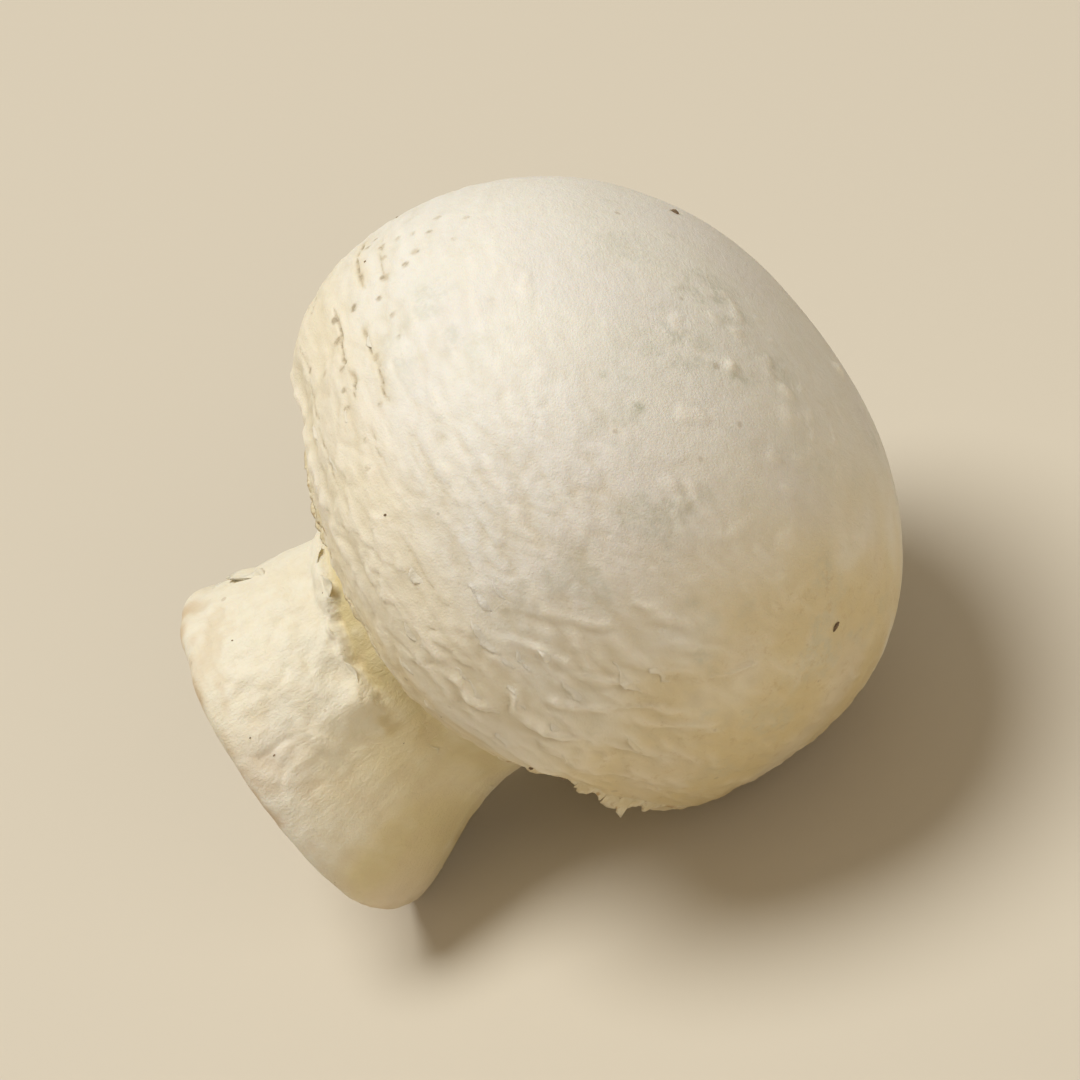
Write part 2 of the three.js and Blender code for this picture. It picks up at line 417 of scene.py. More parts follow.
def cap_relief(L, S, T, A):
    """Height of the skin over the plain form, and masks of what the skin shows."""
    low = smooth(6.6, 10.6, S)
    mid = smooth(2.5, 7.0, S)
    lip = smooth(12.5, 15.5, S) * (1 - smooth(16.8, 17.5, S))
    inside = 1 - smooth(16.3, 17.2, S)
    dry = 0.50 + 0.50 * (1 - smooth(60 * RAD, 140 * RAD, turn(T, 180)))
    rub = 0.34 + 0.66 * (1 - smooth(38 * RAD, 72 * RAD, turn(T, 185)))
    belt = bump(4.6, 6.8, 8.6, 10.5, S) * rub
    mid = 0.8 * mid * (0.25 + 0.75 * rub * smooth(3.5, 7.0, S))
    x, y = L[..., 0], L[..., 1]
    patch = smooth(-0.35, 0.35, perlin(L / 5.0, 51))
    d = 0.16 * perlin(L / 11.0, 1) + 0.030 * perlin(L / 4.6, 2) + 0.010 * perlin(L / 2.0, 4)
    # the margin flares out on one side
    dt = (T / RAD - 68 + 180) % 360 - 180
    flare = np.where(dt > 0, 1 - smooth(6, 24, dt), 1 - smooth(10, 46, -dt))
    d = d + 1.0 * flare * bump(5.5, 10.6, 12.6, 15.2, S)
    d = d - 0.6 * bump(9.4, 11.8, 13.4, 15.4, S) * (1 - smooth(6 * RAD, 24 * RAD, turn(T, 208)))
    f = 0.0
    # creases and soft folds that run round the cap
    w4 = perlin3(L / 4.2, 21)
    q1 = np.stack([x * 0.20, y * 0.20, A * 0.62], -1) + 0.55 * w4
    q2 = np.stack([x * 0.42, y * 0.42, A * 1.25], -1) + 0.55 * perlin3(L / 2.0, 31)
    q3 = np.stack([x * 0.7, y * 0.7, A * 2.2], -1) + 0.4 * perlin3(L / 1.4, 37)
    f = f - (0.026 * mid + 0.018 * belt + 0.050 * low * dry) * creases(q1, 25, 0.20)
    f = f - (0.020 * mid + 0.016 * belt + 0.028 * low * dry) * creases(q2, 35, 0.24) * (0.35 + 0.65 * patch)
    f = f + (0.026 * mid + 0.022 * belt + 0.055 * low * dry) * perlin(q1 * 1.3, 27)
    f = f + (0.020 * mid + 0.014 * belt + 0.024 * low * dry) * perlin(q2 * 1.2, 39)
    f = f + (0.013 * mid + 0.008 * low) * perlin(q3, 43)
    f = f + 0.30 * np.exp(-apart(L, S, T, A, 1.0, 279) / 0.22) + 0.24 * np.exp(-apart(L, S, T, A, 3.5, 140) / 0.15)
    f = f + 0.13 * np.exp(-apart(L, S, T, A, 3.1, 164) / 0.5) + 0.09 * np.exp(-apart(L, S, T, A, 2.7, 158) / 0.3)
    # a faint leathery unevenness everywhere
    f = f + 0.0065 * perlin(L / 0.8, 45) + 0.0050 * perlin(L / 0.45, 47)
    # fine lines crossing at a slant where the skin was rubbed
    for middle, s0, s1, k in ((146, 6.4, 10.6, 1.0), (300, 6.0, 9.5, 0.7), (30, 5.5, 9.0, 0.6)):
        u, v = unrolled(T, A, middle)
        zone = bump(s0 - 0.8, s0 + 0.4, s1 - 0.6, s1 + 0.4, S) * (1 - smooth(4.5, 8.5, np.abs(u)))
        for slope, seed in ((0.62, 201), (-0.55, 205)):
            c, sn = math.cos(slope), math.sin(slope)
            pu, pv = u * c + v * sn, -u * sn + v * c
            pp = np.stack([pu * 0.30, pv * 1.35, 0 * pu + middle], -1) + 0.25 * w4
            f = f - 0.034 * k * zone * creases(pp, seed, 0.22)
    # lifted scales: a slow rise and a sharp drop towards the margin
    scal = scallops(T, A, S)
    keep = smooth(7.9, 10.8, S) * (1 - smooth(14.0, 15.2, S)) * (0.25 + 0.75 * smooth(-0.3, 0.3, perlin(L / 4.5, 67)))
    f = f + 0.21 * scal * keep * dry * (0.72 + 0.28 * smooth(125 * RAD, 150 * RAD, T))
    ridge, trough = ridges(T, A, S)
    f = f + (ridge - 0.45 * trough) * (1 + 0.25 * (1 - smooth(18 * RAD, 40 * RAD, turn(T, 182)))) * inside
    # flaky skin on the margin by the long cracks
    flaky = bump(9.4, 10.8, 13.8, 15.2, S) * (1 - smooth(35 * RAD, 62 * RAD, turn(T, 95)))
    f = f + flaky * (0.036 * perlin(np.stack([x * 0.55, y * 0.55, A * 1.5], -1), 85) + 0.022 * perlin(L / 0.62, 87))
    # soft unevenness of the shaded side
    worn = bump(2.0, 4.0, 9.5, 12.0, S) * (1 - smooth(24 * RAD, 46 * RAD, turn(T, 210)))
    f = f + worn * (0.040 * perlin(L / 1.9, 89) + 0.034 * perlin(L / 0.95, 91))
    # fine dimples and a few low pimples on the crown's far side
    far = bump(0.4, 1.6, 5.5, 7.5, S) * (1 - smooth(46 * RAD, 80 * RAD, turn(T, 150)))
    pimple = smooth(0.22, 0.50, perlin(L / 1.15, 93)) * smooth(-0.1, 0.3, perlin(L / 4.2, 95))
    f = f + far * (0.020 * perlin(L / 0.85, 97) + 0.075 * pimple)
    # cracks
    wob = 0.34 * perlin(L / 2.6, 71) + 0.12 * perlin(L / 0.8, 73)
    broken = smooth(-0.70, -0.10, perlin(np.stack([x, y, A * 0.3], -1) / 0.9, 75))
    crack = crack_mask(A, T, wob, 0.10) * broken
    tint = crack_mask(A, T, wob * 0.6, 0.75)
    spots = 0.0
    for s0, t0, rad, k in ((9.3, 72, 0.26, 0.8), (8.8, 76, 0.28, 0.9), (8.8, 80, 0.26, 0.8), (8.9, 85, 0.32, 0.9),
                           (10.0, 86, 0.30, 0.9), (10.6, 85, 0.28, 0.9), (10.7, 90, 0.36, 1.0), (7.9, 84, 0.32, 0.8),
                           (7.3, 76, 0.28, 0.7), (8.2, 86, 0.28, 0.8), (8.9, 96, 0.28, 0.7), (9.7, 102, 0.30, 0.8),
                           (7.5, 80, 0.24, 0.6), (7.9, 78, 0.24, 0.6), (8.3, 77, 0.26, 0.7), (10.7, 98, 0.28, 0.8),
                           (10.8, 103, 0.26, 0.7), (10.9, 107, 0.26, 0.7), (10.0, 112, 0.26, 0.6), (8.9, 102, 0.24, 0.6),
                           (11.3, 94, 0.28, 0.8), (6.7, 80, 0.26, 0.6), (9.2, 89, 0.26, 0.7), (7.0, 86, 0.24, 0.5),
                           (10.7, 116, 0.22, 0.6), (10.9, 121, 0.24, 0.6), (6.6, 106, 0.26, 0.4), (11.8, 88, 0.26, 0.7),
                           (11.5, 69, 0.24, 0.6), (9.1, 70, 0.24, 0.7),
                           (10.2, 270, 0.22, 0.7), (9.0, 300, 0.24, 0.6), (10.6, 318, 0.22, 0.7), (9.5, 345, 0.22, 0.6),
                           (10.8, 15, 0.24, 0.6), (9.8, 40, 0.24, 0.6), (8.9, 28, 0.22, 0.5)):
        spots = np.maximum(spots, k * np.exp(-(apart(L, S, T, A, s0, t0) / rad ** 2) ** 1.3))
    f = f - 0.17 * crack
    # the margin's rolled rim
    rim = (1 - smooth(30 * RAD, 46 * RAD, turn(T, 98))) * (0.55 + 0.9 * perlin(L / 1.1, 79))
    f = f + rim * (0.30 * np.exp(-((S - 12.80) / 0.20) ** 2) - 0.17 * np.exp(-((S - 12.34) / 0.18) ** 2))
    # ragged lip
    f = f + lip * (0.20 * perlin(L / 1.6, 81) + 0.13 * perlin(L / 0.7, 83))
    # painted shade and highlight: hollows and the troughs under the ridges are coloured darker as shade would fall;
    # raised skin and ridge crests are coloured lighter, partly the drier skin's own paleness, partly painted highlight
    painted_hollow_shade = np.maximum(np.clip(-f / 0.11, 0, 1), np.clip(trough / 0.14, 0, 1)) * inside
    pale_crest_and_painted_highlight = np.maximum(np.clip(f / 0.14, 0, 1), np.clip(ridge / 0.13, 0, 1)) * inside
    # colour masks
    warm = smooth(7.8, 13.5, S) * smooth(-0.55, 0.45, perlin(L / 7.0, 141))
    warm = np.maximum(warm, 0.75 * tint)
    warm = np.maximum(warm, 0.9 * bump(12.2, 13.6, 17, 18, S))
    # the margin band under the cracks is the creamiest
    warm = np.maximum(warm, 0.8 * bump(9.2, 11.0, 13.5, 15, S) * (1 - smooth(35 * RAD, 60 * RAD, turn(T, 92))))
    # painted warm bounce and shade: the lower right of the cap, its shaded edge and the lower margin are coloured amber
    # and darker, standing in for warm light thrown up from below and for shade; the band round the lip (0.28) is the
    # skin's own yellowing
    amber_and_painted_shade = (0.95 * bump(3.0, 9.5, 14.5, 16, S) * (1 - smooth(20 * RAD, 90 * RAD, turn(T, 240)))
             * smooth(-1.9, 0.5, perlin(L / 5.0, 145)))
    amber_and_painted_shade = np.maximum(amber_and_painted_shade, 0.28 * bump(10.8, 13.0, 14.5, 16, S) * smooth(-0.8, 0.5, perlin(L / 3.5, 146)))
    amber_and_painted_shade = np.maximum(amber_and_painted_shade, 0.86 * bump(0.4, 6.8, 7.8, 14.0, S) * (1 - smooth(0, 84 * RAD, turn(T, 216)))
                       * smooth(-2.2, 0.4, perlin(L / 3.4, 148)))
    amber_and_painted_shade = np.maximum(amber_and_painted_shade, 0.50 * bump(11.6, 13.4, 15.5, 16.5, S) * (1 - smooth(22 * RAD, 48 * RAD, turn(T, 172)))
                       * smooth(-1.4, 0.3, perlin(L / 2.6, 149)))
    warm = np.maximum(warm, np.minimum(1.0, 1.5 * amber_and_painted_shade)) + amber_and_painted_shade * smooth(0.1, 0.6, amber_and_painted_shade)
    # painted warm bounce on the lower margin, over the margin's own cream
    warm = np.maximum(warm, 0.75 * bump(9.6, 11.2, 15, 16, S) * (1 - smooth(22 * RAD, 55 * RAD, turn(T, 160))))
    pink = 0.5 * smooth(0.05, 0.55, perlin(L / 6.5, 143)) * (1 - 0.4 * low)
    # painted cool shade: a darker lavender patch round the middle of the cap stands in for the light falling off there
    pink = np.maximum(pink, np.exp(-apart(L, S, T, A, 6.9, 150) / 52) * smooth(-1.6, 0.2, perlin(L / 3.0, 144)))
    grey = 0.6 * smooth(0.10, 0.55, fbm(L / 4.0, 3, 147, 0.6)) * smooth(-0.2, 0.35, perlin(L / 12.0, 151)) * (1 - 0.7 * low)
    grey = grey * (1 - 0.85 * np.exp(-(apart(L, S, T, A, 3.3, 82) / 20) ** 2))
    grey = grey * (1 - 0.80 * np.exp(-(apart(L, S, T, A, 4.2, 185) / 34) ** 2))
    for s0, t0, rad, k in ((3.0, 112, 2.2, 1.0), (4.8, 193, 1.0, 0.7), (3.4, 181, 0.8, 0.5), (3.4, 143, 0.8, 1.0), (2.4, 150, 1.8, 0.5),
                           (4.2, 129, 2.3, 0.8), (5.0, 131, 1.8, 0.5), (2.3, 152, 0.5, 0.9),
                           (5.0, 300, 2.2, 0.7), (6.3, 20, 1.8, 0.6), (2.2, 250, 1.5, 0.6)):
        r = np.sqrt(apart(L, S, T, A, s0, t0)) / rad
        grey = np.maximum(grey, k * np.exp(-r ** 2) * smooth(-0.45, 0.35, fbm(L / 1.1, 2, 155, 0.6)))
    for s0, t0, rad, k in ((5.3, 139, 0.33, 1.7), (5.45, 139.5, 0.24, 1.2), (5.5, 130, 0.28, 1.0), (3.55, 143, 0.34, 1.1), (3.4, 80, 0.26, 0.9)):
        grey = np.maximum(grey, k * np.exp(-apart(L, S, T, A, s0, t0) / rad ** 2))
    pale_crest_and_painted_highlight = pale_crest_and_painted_highlight * (1 - 0.75 * np.clip(amber_and_painted_shade, 0, 1))
    return (d + f) * inside, {
        "tone": np.stack([warm, pink, grey], -1) * inside[..., None],
        "marks_and_painted_light": np.stack([np.maximum(crack, 0.95 * spots), painted_hollow_shade, pale_crest_and_painted_highlight], -1)}


def build_cap():
    seg = 400
    k = 1.0
    s = resample(cap_path, 0, CAP_END, lambda s: k * np.where(s < 4, 0.29, np.where(s < 16.6, 0.167, 0.8)))
    s = s[1:-1]
    P = cap_path(s)
    arc_all = arc_length(np.vstack([[0, 39.7], P]))[1:]
    th = around(seg)
    S, T = s[:, None] + 0 * th[None], th[None] + 0 * s[:, None]
    L = grown(P[:, 0][:, None], P[:, 1][:, None], np.where(S > 16, 16 + 0 * S, S), T)
    A = arc_all[:, None] + 0 * T
    N = normals_of(L, th)
    i = np.argmax(P[:, 0])
    if (N[i] * (L[i] - L[i].mean(0))).sum() < 0:
        N = -N
    D, masks = cap_relief(L, S, T, A)
    return L + N * D[..., None], S, T, A, masks


def flatten(W):
    W = W.copy()
    W[..., 2] = np.maximum(W[..., 2], 0.0)
    return W


class Host:
    """A built surface that other small pieces sit on."""

    def __init__(self, L, S, T, tone):
        self.L, self.s, self.t, self.tone = L, S[:, 0], T[0], tone
        ds = np.gradient(L, axis=0)
        self.D = ds / (np.linalg.norm(ds, axis=-1, keepdims=True) + 1e-9)
        N = normals_of(L, self.t)
        i = len(self.s) // 2
        self.N = N if (N[i] * (L[i] - L[i].mean(0))).sum() > 0 else -N

    def at(self, s, th):
        """Point, downward tangent and normal at profile place s and angle th (arrays)."""
        s, th = np.broadcast_arrays(np.asarray(s, float), np.asarray(th, float) % (2 * math.pi))
        fi = np.interp(s, self.s, np.arange(len(self.s)))
        fj = np.interp(th, np.append(self.t, self.t[0] + 2 * math.pi), np.arange(len(self.t) + 1))
        i0 = np.minimum(fi.astype(int), len(self.s) - 2)
        j0 = fj.astype(int) % len(self.t)
        j1 = (j0 + 1) % len(self.t)
        a, b = (fi - i0)[..., None], (fj - fj.astype(int))[..., None]
        out = []
        for G in (self.L, self.D, self.N, self.tone):
            g = ((G[i0, j0] * (1 - b) + G[i0, j1] * b) * (1 - a)
                 + (G[i0 + 1, j0] * (1 - b) + G[i0 + 1, j1] * b) * a)
            out.append(g)
        for g in out[1:3]:
            g /= np.linalg.norm(g, axis=-1, keepdims=True) + 1e-9
        return out


L, S, T, A, masks = build_cap()
cap_host = Host(L, S, T, masks["tone"])
n, m = S.shape
low_end = np.array([1.9 * math.cos(236 * RAD), 1.9 * math.sin(236 * RAD), 16.7])
top = to_row(np.array([[0, 0, 39.7]]))
bot = to_row(low_end[None])
verts = np.vstack([top, flatten(to_row(L)).reshape(-1, 3), bot]) * MM


def column(field, first=None, last=None):
    """Vertex order: pole, rings, pole."""
    f = field.reshape(-1, field.shape[-1]) if field.ndim == 3 else field.reshape(-1)
    a = f[0] if first is None else first
    b = f[-1] if last is None else last
    return np.concatenate([[a], f, [b]])


def flow_of(L, x, y, v, amount, seed):
    """Stretched, wandering coordinates that the fibres of the skin follow."""
    return np.stack([x, y, v], -1) + amount * perlin3(L / 2.2, seed)


cap = make_object("cap_skin", verts, grid_faces(n, m, True, True, flip=True), {
    "own": column(L, (0, 0, 39.7), low_end),
    "flow": column(flow_of(L, L[..., 0] * 0.55, L[..., 1] * 0.55, A * 0.95, 0.45, 301)),
    "prof": column(S, 0, CAP_END),
    "tone": column(masks["tone"]),
    "marks_and_painted_light": column(masks["marks_and_painted_light"]),
})

# ---------------------------------------------------------------------------
# Stem and veil
# ---------------------------------------------------------------------------
VEIL_IN = np.array([(0, 16.2), (5, 16.0), (9.2, 15.4), (11.4, 14.5), (11.5, 13.95), (10.85, 13.62)])


def stem_path(s):
    """0..5 hidden inside the cap, then from 6 the CAD profile from 17 (veil) to 31 (centre of the cut)."""
    full = np.vstack([VEIL_IN, PROFILE[17:]])
    P = spline(full, s)
    return P


STEM_END = 6 + (31 - 17)


def stem_s(s):
    """The CAD's profile parameter that goes with the stem's own."""
    return np.where(s < 6, np.interp(s, [0, 3, 4, 5, 6], [15, 15.6, 16, 16.4, 17]), s + 11)


def collar_edge(T):
    """Profile place of the torn upper edge of the collar, at angle T."""
    u = 11.0 * ((T - 105 * RAD + math.pi) % (2 * math.pi) - math.pi)
    p = np.stack([u * 0.55, 0 * u + 3.1, 0 * u], -1)
    tip = np.exp(-(turn(T, 106) / (12 * RAD)) ** 2)
    return 20.45 + 0.10 * u / 3 + 0.16 * perlin(p, 171) + 0.08 * perlin(p * 2.7, 173) - 0.42 * tip


def collar_span(T):
    """1 where the collar is, fading out at its ends."""
    return 1 - smooth(42 * RAD, 58 * RAD, turn(T, 103))


def stem_relief(L, S, T, A, R):
    side = bump(17.6, 18.8, 27.2, 28.2, S)
    veil = bump(15.8, 16.4, 17.8, 18.8, S)
    cut = smooth(27.4, 28.6, S)
    x, y, z = L[..., 0], L[..., 1], L[..., 2]
    d = side * (0.20 * perlin(L / 6.0, 101) + 0.06 * perlin(L / 2.8, 103))
    d = d + 0.45 * bump(24.6, 26.3, 27.4, 28.6, S) * (1 - smooth(14 * RAD, 34 * RAD, turn(T, 66)))
    f = 0.0
    # soft wavy folds across the stem
    w3 = perlin3(L / 3.4, 105)
    q = np.stack([x * 0.22, y * 0.22, z * 0.55], -1) + 0.7 * w3
    lumpy = side * (0.6 + 2.0 * bump(19.6, 21.0, 24.0, 25.6, S) * (1 - smooth(24 * RAD, 52 * RAD, turn(T, 118))))
    f = f + lumpy * (0.085 * perlin(q * 1.2, 109) - 0.030 * creases(q, 111, 0.30) + 0.040 * perlin(L / 1.25, 113))
    q2 = np.stack([x * 0.5, y * 0.5, z * 1.2], -1) + 0.5 * perlin3(L / 1.8, 106)
    f = f + lumpy * (0.026 * perlin(q2, 110) - 0.012 * creases(q2, 112, 0.30))
    # long fibres running down the stem
    t = np.stack([np.cos(T) * 9, np.sin(T) * 9, z * 0.18], -1) + 0.30 * w3
    f = f + side * (0.024 * perlin(t * 1.2, 117) + 0.014 * perlin(t * 2.6, 119))
    f = f + side * (0.006 * perlin(L / 0.8, 121) + 0.004 * perlin(L / 0.45, 122))
    # collar: a layer left by the veil, with a torn edge towards the cap
    above = S - collar_edge(T)
    span = collar_span(T)
    tip = np.exp(-(turn(T, 106) / (9 * RAD)) ** 2)
    layer = smooth(-0.13, 0.07, above) * (1 - smooth(1.2, 4.2, above)) * span * (1 + 0.35 * tip * (1 - smooth(0.2, 1.6, above)))
    f = f + 0.58 * layer * side
    f = f + 0.14 * np.exp(-((above - 0.25) / 0.22) ** 2) * span * side * (0.6 + 0.8 * perlin(L / 0.9, 116))
    lump = spline(PROFILE, np.array([21.2]))[0]
    c = np.array([lump[0] * math.cos(148 * RAD), lump[0] * math.sin(148 * RAD)]) + 1.9 * np.array([math.cos(236 * RAD), math.sin(236 * RAD)])
    f = f + 0.55 * np.exp(-(((x - c[0]) ** 2 + (y - c[1]) ** 2) / 1.3 + ((z - lump[1]) / 0.8) ** 2)) * side
    # veil: thin, finely puckered; grown onto the margin on the lower side
    t2 = np.stack([np.cos(T) * 10, np.sin(T) * 10, R * 0.3], -1)
    f = f + veil * (0.09 * perlin(t2 * 1.0, 123) + 0.05 * perlin(t2 * 2.4, 125) + 0.06 * perlin(L / 1.3, 127)
                    - 0.07 * creases(t2 * 0.8 + 0.3 * w3, 128, 0.2))
    fused = 1 - smooth(30 * RAD, 62 * RAD, turn(T, 178))
    d = d + 0.5 * fused * bump(15.6, 16.6, 18.2, 20.2, S)
    # cut face: knife ridges across it, a slightly raised skin ring and a sunken, fibrous middle
    knife = x * math.cos(0.7) + y * math.sin(0.7)
    f = f + cut * (0.035 * perlin(np.stack([knife * 1.1, x * 0.08, y * 0.08], -1), 131)
                   + 0.05 * perlin(L / 1.7, 133) + 0.03 * perlin(L / 0.6, 135))
    slit = 0.0
    for t0, r0, k in ((82, 5.6, 1.0), (203, 7.0, 0.8), (318, 6.2, 0.9), (262, 7.8, 0.6), (20, 7.6, 0.6)):
        bend = 0.5 * perlin(L / 1.6, 137) * 0.4
        slit = np.maximum(slit, k * np.exp(-((R * ((T - t0 * RAD + math.pi) % (2 * math.pi) - math.pi) + bend) / 0.16) ** 2)
                          * smooth(r0, r0 + 1.6, R) * smooth(27.2, 28.2, S))
    f = f - 0.30 * slit
    pore = smooth(0.15, 0.5, perlin(L / 0.9, 138)) * np.exp(-(R / 4.6) ** 4) * cut
    f = f - 0.10 * pore
    d = d - cut * 0.22 * np.exp(-(R / 4.2) ** 4) + cut * 0.10 * np.exp(-((R - 8.9) / 0.55) ** 2)
    # colour masks
    # the veil and the groove below the collar's torn edge are coloured cream-yellow: partly the veil's own colour,
    # partly painted shade in the recess under the cap
    vm = 1 - smooth(18.6, 20.3, S)
    vm = np.maximum(vm, (1 - smooth(-0.2, 0.15, above)) * smooth(0.05, 0.4, span + 0 * S))
    # painted shade: the upper stem's shaded side, round 195 degrees, is coloured warmer and darker
    shade = (1 - smooth(21.5, 26.5, S)) * (1 - smooth(25 * RAD, 70 * RAD, turn(T, 195)))
    warm = np.maximum(0.95 * vm, 0.85 * shade)
    warm = np.maximum(warm, 0.35 * smooth(-0.1, 0.5, perlin(L / 5.0, 161)))
    warm = np.maximum(warm, 0.34 * (1 - smooth(30 * RAD, 60 * RAD, turn(T, 96))) * side)
    amber_and_painted_shade = np.maximum(np.maximum(0.9 * (1 - smooth(18.4, 19.8, S)), 0.85 * (1 - smooth(-0.25, 0.05, above)) * span), 0.30 * shade) * smooth(-1.2, 0.2, perlin(L / 3.0, 166))
    # painted shade: the foot of the stem on its shaded side is coloured amber-brown
    amber_and_painted_shade = np.maximum(amber_and_painted_shade, 0.95 * bump(19.6, 23.0, 24.2, 28.4, S) * (1 - smooth(0, 50 * RAD, turn(T, 216))))
    # painted shade: the top of the stem under the cap's overhang, round 180 degrees, is coloured amber
    amber_and_painted_shade = np.maximum(amber_and_painted_shade, 0.60 * (1 - smooth(19.3, 22.6, S)) * (1 - smooth(26 * RAD, 58 * RAD, turn(T, 180)))
                       * smooth(-1.3, 0.2, perlin(L / 2.4, 169)))
    stain = np.maximum(np.exp(-apart(L, S, T, A, 20.8, 162) / 0.9), 0.6 * np.exp(-apart(L, S, T, A, 20.5, 171) / 1.2))
    stain = stain * smooth(-0.9, 0.2, perlin(L / 0.8, 170))
    amber_and_painted_shade = np.maximum(amber_and_painted_shade, 1.0 * stain)
    warm = np.maximum(warm, np.minimum(1.0, 2.2 * amber_and_painted_shade)) + amber_and_painted_shade * smooth(0.0, 0.4, amber_and_painted_shade)
    pink = smooth(21.5, 25.5, S) * smooth(-0.5, 0.4, perlin(L / 5.5, 163)) * (0.12 + 0.88 * smooth(28 * RAD, 66 * RAD, turn(T, 92)))
    edge = bump(25.2, 26.8, 27.8, 28.6, S) * smooth(-0.15, 0.45, fbm(L / 2.2, 2, 165))
    edge = np.maximum(edge, bump(24.2, 26.6, 28.0, 28.8, S) * (1 - smooth(10 * RAD, 40 * RAD, turn(T, 82)))
                      * smooth(-0.3, 0.4, perlin(L / 1.6, 167)))
    brown = np.maximum(edge, cut * (0.45 * smooth(0.0, 0.5, perlin(L / 3.2, 168))
                                    + 0.5 * np.exp(-((R - 8.55) / 0.28) ** 2) + 0.5 * pore))
    brown = np.maximum(brown, slit)
    brown = np.maximum(brown, 0.34 * stain)
    brown = np.maximum(brown, 0.50 * np.exp(-apart(L, S, T, A, 25.5, 93) / 0.18))
    brown = np.maximum(brown, 0.40 * np.exp(-apart(L, S, T, A, 25.8, 148) / 0.7) * smooth(-0.5, 0.3, perlin(L / 0.6, 171)))
    # painted shade and highlight: the stem's folds are coloured darker in their hollows and lighter on their crests,
    # the collar layer left out
    painted_hollow_shade = np.clip(-f / 0.06, 0, 1)
    pale_crest_and_painted_highlight = np.clip((f - 0.42 * layer) / 0.06, 0, 1)
    return d + f, {"tone": np.stack([warm, pink, np.clip(brown, 0, 1)], -1),
                   "marks_and_painted_light": np.stack([cut, painted_hollow_shade, pale_crest_and_painted_highlight], -1)}


def build_stem():
    seg = 340
    k = 1.0
    s = resample(stem_path, 0, STEM_END,
                 lambda s: k * np.where(s < 4, 0.8, np.where(s < 17, 0.14, 0.22)))
    s = s[1:-1]
    P = stem_path(s)
    C = stem_s(s)
    P[C >= 28, 1] = 0
    th = around(seg)
    S, T = C[:, None] + 0 * th[None], th[None] + 0 * s[:, None]
    A = arc_length(P)[:, None] + 0 * T
    L = grown(P[:, 0][:, None], P[:, 1][:, None], S, T)
    N = normals_of(L, th)
    i = int(np.argmax((C > 24) & (C < 25)))
    if (N[i] * (L[i] - L[i].mean(0))).sum() < 0:
        N = -N
    D, masks = stem_relief(L, S, T, A, P[:, 0][:, None] + 0 * T)
    return L + N * D[..., None], S, T, A, masks


L, S, T, A, masks = build_stem()
k0 = int(np.argmax(S[:, 0] > 17.2))
stem_host = Host(L[k0:], S[k0:], T[k0:], masks["tone"][k0:])
n, m = S.shape
off = 2.5 * np.array([math.cos(236 * RAD), math.sin(236 * RAD)])
cut_dip = 0.03 * (off[0] * math.cos(149 * RAD) + off[1] * math.sin(149 * RAD))
in_end = np.array([1.9 * math.cos(236 * RAD), 1.9 * math.sin(236 * RAD), 16.2])
cut_end = np.array([off[0], off[1], cut_dip + 0.22])
verts = np.vstack([to_row(in_end[None]), flatten(to_row(L)).reshape(-1, 3), to_row(cut_end[None])]) * MM
stem = make_object("stem_and_veil", verts, grid_faces(n, m, True, True, flip=True), {
    "own": column(L, in_end, cut_end),
    "flow": column(flow_of(L, L[..., 0], L[..., 1], L[..., 2] * 0.26, 0.25, 305)),
    "prof": column(S, 15, 31),
    "tone": column(masks["tone"]),
    "marks_and_painted_light": column(masks["marks_and_painted_light"]),
})

# ---------------------------------------------------------------------------
# Shreds: thin closed flaps that grow out of the skin and lift at their free edge
# ---------------------------------------------------------------------------
class Soup:
    def __init__(self):
        self.v, self.f, self.tip, self.tone = [], [], [], []
        self.n = 0

    def add(self, V, F, tip, tone=(0, 0, 0)):
        self.v.append(V)
        self.tone.append(np.broadcast_to(np.asarray(tone, float), V.shape))
        self.f.extend([tuple(i + self.n for i in q) for q in F])
        self.tip.append(tip)
        self.n += len(V)


